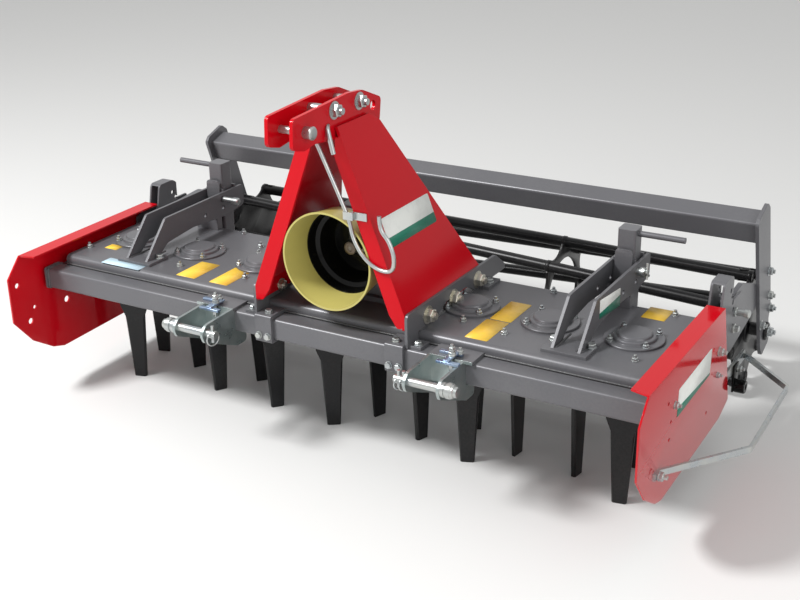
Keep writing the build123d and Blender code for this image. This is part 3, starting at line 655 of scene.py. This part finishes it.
# Roller frame: bolts of the end plates, and the axle's bearings and end bolts
END_FACE = 936
ROLLER_Y = 712
ROLLER_Z = 186
END_BOLTS = ((689, 382), (719, 297), (743, 248), (655, 226))
AXLE_END = END_FACE + 9
end_bolts = []
for side in SIDES:
    for number, (y, z) in enumerate(END_BOLTS):
        end_bolts.append(spot(side * END_FACE, y, z, outwards(side), radians(40 * number), 0.85))
bearings = [spot(side * END_FACE, ROLLER_Y, ROLLER_Z, outwards(side)) for side in SIDES]
axle_bolts = [spot(side * AXLE_END, ROLLER_Y, ROLLER_Z, outwards(side), 0.4) for side in SIDES]
hub = turned(((27, 0), (27, 5), (24, 8), (20, 8)), 40)
dress(placed(hub, bearings), "roller_bearings", black_paint, "roller_frame", 30)
dress(copies(big_bolt, axle_bolts), "axle_bolts", zinc, "roller")
dress(copies(big_bolt, end_bolts), "end_plate_bolts", zinc, "roller_frame")

# Cage roller: eight tubes, straight from disc to disc and turned a little further at each
TUBE_COUNT = 8
TUBE_RADIUS = 17
TUBE_REACH = 166
TUBE_START = 68
TUBE_TWIST = 27
TUBE_WALL = 3.5
TUBE_PAST_DISC = 8
CAGE_HALF = 882
DISC_PLACES = (-1, -1 / 3, 1 / 3, 1)


def tube_angle(k, place):
    """A tube's angle round the axle, at a place from -1 at the left end to 1 at the right."""
    return radians(TUBE_START + 360 / TUBE_COUNT * k + TUBE_TWIST * (place + 1) / 2)


def tube_point(k, place, past=0):
    angle = tube_angle(k, place)
    return place * CAGE_HALF + past, ROLLER_Y + TUBE_REACH * cos(angle), ROLLER_Z + TUBE_REACH * sin(angle)


tubes = []
for k in range(TUBE_COUNT):
    line = [tube_point(k, place) for place in DISC_PLACES]
    line[0] = tube_point(k, -1, -TUBE_PAST_DISC)
    line[-1] = tube_point(k, 1, TUBE_PAST_DISC)
    tubes.append(rod(line, TUBE_RADIUS, 2))
cage_tubes = hollow_ends(joined(tubes), reach=870, wall=TUBE_WALL, depth=40)
dress(cage_tubes, "cage_tubes", black_paint, "roller")
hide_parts("roller_bars")

DISC_HALF = 4
END_DISC = (
    (TUBE_REACH, -DISC_HALF), (TUBE_REACH, DISC_HALF), (45, DISC_HALF), (44, 9), (38, 11), (19.5, 11),
    (19.5, 53),
)
MIDDLE_DISC = ((TUBE_REACH, -DISC_HALF), (TUBE_REACH, DISC_HALF))
MIDDLE_HOLE = 115
NOTCH_RADIUS = 57
NOTCH_REACH = 0.198


def cage_disc(place):
    """A disc notched between the tubes: the end ones closed and with an axle stub, the others rings."""
    at_end = abs(place) == 1
    side = 1 if place > 0 else -1
    plate = turned(END_DISC if at_end else MIDDLE_DISC, 96)
    notches = []
    for k in range(TUBE_COUNT):
        angle = tube_angle(k + 0.5, place)
        angle = angle if side > 0 else pi - angle
        notches.append((Vector((NOTCH_REACH * cos(angle), NOTCH_REACH * sin(angle), 0)), UP, 0, 1.0))
    cutters = [placed(turned(((NOTCH_RADIUS, -8), (NOTCH_RADIUS, 8)), 48), notches)]
    if not at_end:
        cutters.append(turned(((MIDDLE_HOLE, -8), (MIDDLE_HOLE, 8)), 72))
    eased(cut(plate, cutters), 1.2)
    return placed(plate, [spot(place * CAGE_HALF, ROLLER_Y, ROLLER_Z, outwards(side))])


cage_discs = joined([cage_disc(place) for place in DISC_PLACES])
dress(cage_discs, "cage_discs", black_paint, "roller", 30)
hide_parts("roller_discs")

# Weld beads where the tubes meet the discs
collars = []
for place in DISC_PLACES:
    for k in range(TUBE_COUNT):
        collars.append(spot(*tube_point(k, place), outwards(1), 0.4 * k))
bead = turned(((17.5, -6.5), (19, -5), (19, 5), (17.5, 6.5)), 24)
dress(placed(bead, collars), "cage_welds", black_paint, "roller", 60)

# The hose hook in front of the tower, from the tower's middle: across and height
HOOK_Y = -267
HOOK_LINE = (
    (-18, 903), (16, 832), (52, 757), (78, 700), (86, 655), (112, 612), (150, 585), (196, 582), (205, 618),
    (190, 664), (163, 690), (163, 724),
)
hook = rod([(TOWER_X + x, HOOK_Y, z) for x, z in HOOK_LINE], 5.5, 3, 10)
dress(hook, "hose_hook", zinc, "frame")
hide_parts("hook_rod")

# The bent rod end beside the top bracket
STAY_LINE = ((38, -288, 939), (43, -298, 938), (47, -300, 926), (54, -300, 898), (60, -300, 874))
stay = rod([(TOWER_X + x, y, z) for x, y, z in STAY_LINE], 6)
dress(stay, "hook_stay", zinc, "frame")

# Centre hole and rings in the shaft's end
SHAFT_FRONT = -148
tip = turned(((17, 0), (17, 1.2), (15.5, 2), (8.5, 2), (7.5, 0.9), (5.5, 0.9), (4.5, -6), (1, -8)), 40)
shaft_end = placed(tip, [spot(TOWER_X, SHAFT_FRONT, SHAFT_Z, FORWARDS)])
dress(shaft_end, "shaft_end", dark_steel, "input", 30)

# Strap bars on the lower brackets: the middles of the rear bar, the front bar and the upright bolt
STRAP_HALF = 31
STRAPS = ((410, 428, 424), (-322, -292, -294))
straps = []
strap_bolts = []
strap_nuts = []
for rear_x, front_x, bolt_x in STRAPS:
    straps.append(slab((rear_x - STRAP_HALF, -257, 392), (rear_x + STRAP_HALF, -245, 399), 1.2))
    straps.append(slab((front_x - STRAP_HALF, -311, 391), (front_x + STRAP_HALF, -298, 398), 1.2))
    straps.append(slab((bolt_x - 9, -309, 398), (bolt_x + 9, -247, 402), 1.2))
    strap_bolts.append(straight((bolt_x, -275, 424), (bolt_x, -279, 374), 4.5))
    strap_nuts.append(spot(bolt_x, -275.6, 402, UP, 0.3, 1.25))
    strap_nuts.append(spot(bolt_x, -275.4, 416, UP, 0.6, 1.1))
    strap_nuts.append(spot(bolt_x, -279, 380, DOWN, 0.3, 1.25))
    strap_nuts.append(spot(rear_x + 24, -251, 399, UP, 0.1, 1.1))
dress(joined(straps), "bracket_straps", blue_zinc, "frame")
dress(joined(strap_bolts + [copies(nut, strap_nuts)]), "strap_bolts", zinc, "frame")

# Linchpins of the hitch pins: place across, height, the sprung ring's radius and how far it hangs
PIN_Y = -386
LOWER_PIN_X = 349
LOWER_PIN_Z = 366
TOP_PIN_Z = 946
LINCHPINS = (
    (TOWER_X + LOWER_PIN_X - 69, LOWER_PIN_Z, 17, 10), (TOWER_X + LOWER_PIN_X - 55, LOWER_PIN_Z, 17, 10),
    (TOWER_X - LOWER_PIN_X + 68, LOWER_PIN_Z, 19, 12), (TOWER_X - 50, TOP_PIN_Z, 15, 8),
)
RING_STEPS = 12
RING_LEAN = 5
linchpins = []
for x, z, radius, drop in LINCHPINS:
    loop = []
    for step in range(RING_STEPS + 1):
        angle = 2 * pi * step / RING_STEPS
        loop.append((x + RING_LEAN * sin(angle), PIN_Y + radius * sin(angle), z - drop + radius * cos(angle)))
    linchpins.append(rod(loop, 2.2, 3, 4))
    linchpins.append(straight((x, PIN_Y, z - 22), (x, PIN_Y, z + 24), 4.5))
dress(joined(linchpins), "linchpins", zinc, "frame")

# Cap of the upper pin, and the ringed sleeves outside the lower brackets
cap = turned(((15, 0), (16.5, 1), (16.5, 4), (14, 6.5), (11, 7)), 32)
caps = [placed(cap, [spot(TOWER_X + 58, PIN_Y, TOP_PIN_Z, outwards(1))])]
SLEEVE_PROFILE = (
    (19, 0), (19, 9), (17, 10), (17, 14), (20, 15), (20, 25), (17.5, 27), (17.5, 32), (14, 34), (13, 41),
    (9, 42),
)
SLEEVE_X = 399
sleeves = [spot(TOWER_X + side * SLEEVE_X, PIN_Y, LOWER_PIN_Z, outwards(side)) for side in SIDES]
caps.append(placed(turned(SLEEVE_PROFILE, 40), sleeves))
dress(joined(caps), "pin_caps", zinc, "frame")

# Locking pins of the levelling arms: one with a round head, one with a cross handle
LOCK_Z = 503
round_head = turned(((9, 0), (9, 38), (11, 39), (11, 56), (8, 59)), 28)
shank = turned(((9, 0), (9, 8), (13, 9), (13, 22), (8, 24), (8, 30)), 28)
locks = [
    placed(round_head, [spot(-629, 212, LOCK_Z, outwards(1))]),
    placed(shank, [spot(709, 215, LOCK_Z, outwards(1))]),
    rod(((731, 196, 516), (731, 208, 508), (731, 222, 499), (733, 236, 488)), 5),
    rod(((735, 219, 528), (735, 217, 510), (737, 212, 486)), 4),
]
dress(joined(locks), "locking_pins", zinc, "frame")

# Upright tabs between the levelling arms, round at the top
TAB_Y = 216
TAB_THICKNESS = 6
TAB_CORNER = 11
corner = turned(((TAB_CORNER, 0), (TAB_CORNER, TAB_THICKNESS)), 24)
tabs = []
for side in SIDES:
    tops = copies(corner, [spot(side * x, TAB_Y, 545, REARWARDS) for x in (657, 683)])
    foot = slab((side * 646, TAB_Y, 440), (side * 694, TAB_Y + TAB_THICKNESS, 446), 0.5)
    tab = joined([tops, foot])
    with Edit(tab) as edit:
        edit.all()
        bpy.ops.mesh.convex_hull()
    tabs.append(eased(tab, 0.8))
discard(corner)
dress(joined(tabs), "level_tabs", grey_paint, "frame", 30)

# Clamp and buffer at the rear of the guard bar
buffer = turned(((17, 0), (19, 2), (19, 26), (17, 29), (9, 29), (8, 25)), 32)
stop = [placed(buffer, [spot(SIDE_FACE, 374, 160, outwards(1))]), slab((944, 354, 146), (950, 394, 224), 1.5)]
dress(joined(stop), "guard_stop", black_plastic, "frame", 30)
guard_nut = copies(nut, [spot(950, 385, 206, outwards(1), 0.3, 1.3)])
dress(guard_nut, "guard_nut", zinc, "frame")

# Pins of the sector brackets
SECTOR_FACE = 938
long_pin = turned(((13, 0), (13, 5), (9, 6), (9, 26), (12, 27), (12, 38), (9, 41)), 28)
short_pin = turned(((13, 0), (13, 5), (9, 6), (9, 16), (6, 18)), 28)
pins = [
    placed(long_pin, [spot(side * SECTOR_FACE, 345, 385, outwards(side)) for side in SIDES]),
    placed(short_pin, [spot(side * SECTOR_FACE, 340, 340, outwards(side)) for side in SIDES]),
]
dress(joined(pins), "sector_pins", zinc, "frame")


# Blank signs
def sign(name, corner, along, across, finish, band=None):
    """Film on a surface: a corner and its two sides in millimetres; the band is the share of it in green."""
    bpy.ops.mesh.primitive_plane_add(size=1, location=(0.5, 0.5, 0))
    film = place_in_mesh(bpy.context.object)
    with Edit(film) as edit:
        edit.all()
        bpy.ops.mesh.bevel(offset=0.04, segments=3, affect="VERTICES")
    out = Vector(along).cross(Vector(across)).normalized() * 0.5
    lifted = at(*[a + b for a, b in zip(corner, out)])
    u, v, w = Vector(along) / 1000, Vector(across) / 1000, out / 500
    film.data.transform(Matrix((
        (u.x, v.x, w.x, lifted.x), (u.y, v.y, w.y, lifted.y), (u.z, v.z, w.z, lifted.z), (0, 0, 0, 1))))
    dress(film, name, finish, "frame")
    if band:
        film.data.materials.append(sign_green)
        with Edit(film) as edit:
            edit.all()
            bpy.ops.mesh.bisect(plane_co=lifted + v * band, plane_no=v.normalized())
            edit.faces(lambda face: (face.calc_center_median() - lifted).dot(v) < band * v.length_squared)
            film.active_material_index = 1
            bpy.ops.object.material_slot_assign()
    solid = film.modifiers.new("film", "SOLIDIFY")
    solid.thickness = 0.0004
    solid.offset = -1
    pick_only(film)
    bpy.ops.object.modifier_apply(modifier="film")


# Signs on the deck: front left corner, width and depth
DECK_SIGNS = (
    ("sign_a", -506, -182, 66, 119, sign_yellow), ("sign_b", -390, -182, 62, 125, sign_yellow),
    ("sign_c", -840, -105, 45, 35, sign_yellow), ("sign_d", 409, -182, 63, 128, sign_yellow),
    ("sign_e", 414, -50, 60, 130, sign_yellow), ("sign_f", 752, 139, 63, 76, sign_yellow),
    ("sign_g", -765, -204, 140, 42, sign_blue),
)
for name, x, y, width, depth, finish in DECK_SIGNS:
    sign(name, (x, y, DECK), (width, 0, 0), (0, depth, 0), finish)

# Signs on the tower's right panel, which leans inwards, on the right levelling arm and on the right side plate
PANEL_FOOT = Vector((TOWER_X + 222, -220, 470))
PANEL_THICKNESS = 4
PANEL_TILT = atan2(177, 460)
slope_up = Vector((-sin(PANEL_TILT), 0, cos(PANEL_TILT)))
panel_out = Vector((cos(PANEL_TILT), 0, sin(PANEL_TILT)))
panel_corner = PANEL_FOOT + panel_out * PANEL_THICKNESS + slope_up * 165
sign("tower_sign", panel_corner, (0, 238, 0), slope_up * 78, sign_white, 0.33)
sign("arm_sign", (709, -41, 465), (0, 139, -16), (0, 0, 50), sign_white, 0.3)
sign("side_sign", (SIDE_FACE, -136, 296), (0, 251, 6), (0, 4, 73), sign_white, 0.35)

# Beads of weld along the beam, the base plates, the beam's end caps, the arms' feet and the roller frame
CAP_X = 919
CAP_RING = (
    (-262, 384), (-208, 384), (-205, 381), (-205, 327), (-208, 324), (-262, 324), (-265, 327), (-265, 381),
    (-262, 384),
)
seams = [straight((-896, -207, 386), (896, -207, 386), 3)]
for side in SIDES:
    plate_x = TOWER_X + side * (BASE_FACE - 1)
    seams.append(rod([(plate_x, y, DECK + 0.5) for y in (-200, 60, 150)], 3.2, 2))
    seams.append(rod([(side * CAP_X, y, z) for y, z in CAP_RING], 2.6, 2))
    for arm_x in (643, 697):
        seams.append(straight((side * arm_x, -150, FOOT + 0.5), (side * arm_x, -60, FOOT + 0.5), 2.8))
dress(joined(seams), "weld_beads", weld_seam, "frame", 60)
frame_seams = [straight((side * 925, 640, 541), (side * 925, 572, 517), 3.5) for side in SIDES]
dress(joined(frame_seams), "frame_welds", weld_seam, "roller_frame", 60)

discard(nut, big_bolt, plain_bolt)

# Floor
bpy.ops.object.select_all(action="DESELECT")
bpy.ops.mesh.primitive_plane_add(size=60, location=(0, 0, 0))
floor = bpy.context.object
floor.name = "floor"
floor.data.materials.append(Finish("floor_paint").set(Base_Color=(0.74, 0.74, 0.73), Roughness=0.8))

# Light: a dim surround that is plain white where it is seen directly, in reflections or through a piece
SURROUND_STRENGTH = 0.6
world = bpy.data.worlds.new("studio")
bpy.context.scene.world = world
world.use_nodes = True
sky = world.node_tree
background = sky.nodes["Background"]
background.inputs["Color"].default_value = (1, 1, 1, 1)
background.inputs["Strength"].default_value = SURROUND_STRENGTH
white = sky.nodes.new("ShaderNodeBackground")
white.inputs["Strength"].default_value = 1.0
path = sky.nodes.new("ShaderNodeLightPath")
choose = sky.nodes.new("ShaderNodeMixShader")
seen = Socket(sky, path.outputs["Is Camera Ray"]) + Socket(sky, path.outputs["Is Glossy Ray"])
seen = seen + Socket(sky, path.outputs["Is Transmission Ray"])
sky.links.new(seen.socket, choose.inputs[0])
sky.links.new(background.outputs[0], choose.inputs[1])
sky.links.new(white.outputs[0], choose.inputs[2])
sky.links.new(choose.outputs[0], sky.nodes["World Output"].inputs[0])


def lamp(name, place, size, power):
    """Round lamp that looks at the machine's middle."""
    light = bpy.data.lights.new(name, "AREA")
    light.shape = "DISK"
    light.size = size
    light.energy = power
    holder = bpy.data.objects.new(name, light)
    bpy.context.scene.collection.objects.link(holder)
    holder.location = place
    target = Vector((0.0, 0.0, 0.3))
    holder.rotation_euler = (target - Vector(place)).to_track_quat("-Z", "Y").to_euler()


lamp("key", (-2.6, -3.0, 4.6), size=1.2, power=330)
lamp("fill", (4.2, -2.4, 2.4), size=3.0, power=60)

# Camera, as the photograph was taken: its place in millimetres, its angles and its focal length in pixels
CAMERA_PLACE = at(1755.6, -2796.0, 1728.9)
AZIMUTH, ELEVATION, ROLL = radians(30.34), radians(22.49), radians(-1.03)
FOCAL_LENGTH = 1290.8
PHOTO_WIDTH = 800
SENSOR_WIDTH = 36
back = Vector((sin(AZIMUTH) * cos(ELEVATION), -cos(AZIMUTH) * cos(ELEVATION), sin(ELEVATION)))
right = Vector((cos(AZIMUTH), sin(AZIMUTH), 0))
above = back.cross(right)
turned_right = right * cos(ROLL) + above * sin(ROLL)
turned_up = above * cos(ROLL) - right * sin(ROLL)
camera = bpy.data.objects.new("camera", bpy.data.cameras.new("camera"))
bpy.context.scene.collection.objects.link(camera)
camera.matrix_world = Matrix((
    (turned_right.x, turned_up.x, back.x, CAMERA_PLACE.x),
    (turned_right.y, turned_up.y, back.y, CAMERA_PLACE.y),
    (turned_right.z, turned_up.z, back.z, CAMERA_PLACE.z),
    (0, 0, 0, 1),
))
camera.data.sensor_width = SENSOR_WIDTH
camera.data.lens = SENSOR_WIDTH * FOCAL_LENGTH / PHOTO_WIDTH
bpy.context.scene.camera = camera
bpy.context.scene.view_settings.view_transform = "Standard"
